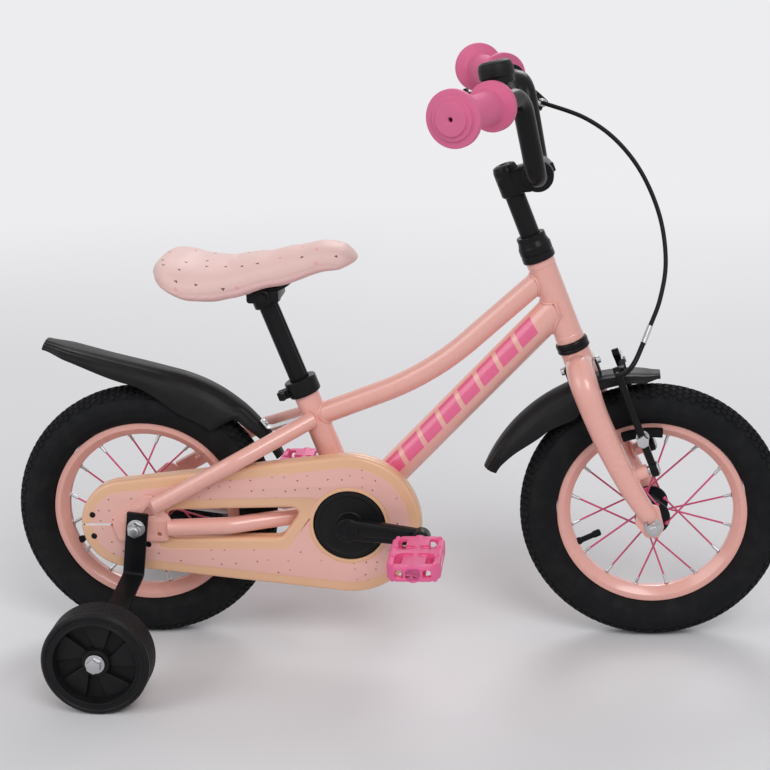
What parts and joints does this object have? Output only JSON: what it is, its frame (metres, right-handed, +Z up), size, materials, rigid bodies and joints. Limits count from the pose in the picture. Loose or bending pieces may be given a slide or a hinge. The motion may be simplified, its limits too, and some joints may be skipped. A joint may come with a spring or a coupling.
{
  "type": "child's bicycle",
  "caption": "Small step-through child's bicycle with spoked wheels, closed chaincase, stabiliser wheels, short fenders, saddle, bell and a front rim brake.",
  "frame": {"origin": "on the ground, midway between the two wheel axles and the two sides", "axes": "+X forward, +Y to the rider's left, +Z up; the chain is on the right, at -Y"},
  "size_m": [0.88, 0.4488, 0.6771],
  "materials": {
    "frame_paint": "gloss",
    "chaincase_plastic": "gloss",
    "chain_steel": "oiled",
    "silver_steel": "zinc plated",
    "black_paint": "satin",
    "black_plastic": "matte",
    "spoke_paint": "gloss",
    "tyre_rubber": "matte",
    "grip_rubber": "matte",
    "pedal_plastic": "matte",
    "saddle_cover": "soft sheen",
    "cable_housing": "satin"
  },
  "bodies": {
    "frame": {"head_tube": "frame_paint", "top_tube": "frame_paint", "down_tube": "frame_paint", "seat_tube": "frame_paint", "bb_shell": "frame_paint", "chainstay_left": "frame_paint", "chainstay_right": "frame_paint", "seatstay_left": "frame_paint", "seatstay_right": "frame_paint", "dropout_left": "frame_paint", "dropout_right": "frame_paint", "seat_clamp": "black_paint", "headset_upper": "black_paint", "headset_lower": "black_paint", "chaincase_cover": "chaincase_plastic", "chaincase_back": "chaincase_plastic", "chain": "chain_steel", "rear_axle": "silver_steel", "coaster_arm": "chain_steel", "rear_fender": "black_plastic", "rear_fender_bracket": "silver_steel", "stabiliser_bracket_left": "black_paint", "stabiliser_bracket_right": "black_paint", "stabiliser_bolt_left": "silver_steel", "stabiliser_bolt_right": "silver_steel"},
    "seat": {"seat_post": "black_paint", "saddle": "saddle_cover", "saddle_clamp": "black_paint"},
    "cranks": {"crank_spindle": "black_paint", "chainring": "black_paint", "crank_right": "black_paint", "crank_left": "black_paint"},
    "right_pedal": {"pedal_right": "pedal_plastic"},
    "left_pedal": {"pedal_left": "pedal_plastic"},
    "driver": {"rear_sprocket": "chain_steel"},
    "rear_wheel": {"rear_hub": "black_paint", "rear_spokes": "spoke_paint", "rear_rim": "frame_paint", "rear_tyre": "tyre_rubber"},
    "steering": {"fork": "black_paint", "stem": "black_paint", "handlebar": "black_paint", "grip_right": "grip_rubber", "grip_left": "grip_rubber", "brake_lever_bracket": "black_plastic", "brake_cable": "cable_housing", "bell": "black_plastic", "front_fender": "black_plastic", "front_axle": "silver_steel"},
    "lever": {"brake_lever": "black_plastic"},
    "right_arm": {"brake_arm_right": "black_plastic"},
    "left_arm": {"brake_arm_left": "black_plastic"},
    "bell_thumb": {"bell_lever": "black_plastic"},
    "front_wheel": {"front_hub": "black_paint", "front_spokes": "spoke_paint", "front_rim": "frame_paint", "front_tyre": "tyre_rubber"},
    "right_stabiliser": {"stabiliser_wheel_right": "black_plastic"},
    "left_stabiliser": {"stabiliser_wheel_left": "black_plastic"}
  },
  "joints": [
    {"name": "steering", "type": "hinge", "parent": "frame", "child": "steering", "pos_m": [0.19917, 0, 0.35191], "axis": [-0.342, 0, 0.9397], "range_deg": [-75, 75]},
    {"name": "saddle_height", "type": "slide", "parent": "frame", "child": "seat", "axis": [-0.342, 0, 0.9397], "range_m": [-0.05, 0.03]},
    {"name": "crank_spin", "type": "hinge", "parent": "frame", "child": "cranks", "pos_m": [-0.05, 0, 0.15], "axis": [0, 1, 0], "continuous": true},
    {"name": "driver_spin", "type": "hinge", "parent": "frame", "child": "driver", "pos_m": [-0.29, 0, 0.15], "axis": [0, 1, 0], "continuous": true},
    {"name": "right_pedal_spin", "type": "hinge", "parent": "cranks", "child": "right_pedal", "pos_m": [0.034, -0.099, 0.15], "axis": [0, 1, 0], "continuous": true},
    {"name": "left_pedal_spin", "type": "hinge", "parent": "cranks", "child": "left_pedal", "pos_m": [-0.134, 0.099, 0.15], "axis": [0, 1, 0], "continuous": true},
    {"name": "rear_wheel_spin", "type": "hinge", "parent": "frame", "child": "rear_wheel", "pos_m": [-0.29, 0, 0.15], "axis": [0, 1, 0], "continuous": true},
    {"name": "front_wheel_spin", "type": "hinge", "parent": "steering", "child": "front_wheel", "pos_m": [0.29, 0, 0.15], "axis": [0, 1, 0], "continuous": true},
    {"name": "brake_lever_pull", "type": "hinge", "parent": "steering", "child": "lever", "pos_m": [0.16039, 0.11648, 0.60303], "axis": [0.6342, 0.2562, 0.7295], "range_deg": [0, 13.2], "stiffness_Nm_per_rad": 2, "springref_deg": -5.73},
    {"name": "right_arm_pull", "type": "hinge", "parent": "steering", "child": "right_arm", "pos_m": [0.29047, -0.042, 0.21508], "axis": [0.9397, 0, 0.342], "range_deg": [-3.3, 0]},
    {"name": "left_arm_pull", "type": "hinge", "parent": "steering", "child": "left_arm", "pos_m": [0.29047, 0.042, 0.21508], "axis": [0.9397, 0, 0.342], "range_deg": [0, 3.3]},
    {"name": "bell_push", "type": "hinge", "parent": "steering", "child": "bell_thumb", "pos_m": [0.12934, -0.10161, 0.64783], "axis": [0.2088, -0.0844, -0.9743], "range_deg": [0, 30], "stiffness_Nm_per_rad": 0.1, "springref_deg": -5.73},
    {"name": "right_stabiliser_spin", "type": "hinge", "parent": "frame", "child": "right_stabiliser", "pos_m": [-0.30211, -0.195, 0.058], "axis": [0, 1, 0], "continuous": true},
    {"name": "left_stabiliser_spin", "type": "hinge", "parent": "frame", "child": "left_stabiliser", "pos_m": [-0.30211, 0.195, 0.058], "axis": [0, 1, 0], "continuous": true}
  ],
  "couplings": [
    {"joint": "driver_spin", "follows": "crank_spin", "ratio": 2},
    {"joint": "left_arm_pull", "follows": "brake_lever_pull", "ratio": 0.25},
    {"joint": "right_arm_pull", "follows": "brake_lever_pull", "ratio": -0.25}
  ]
}
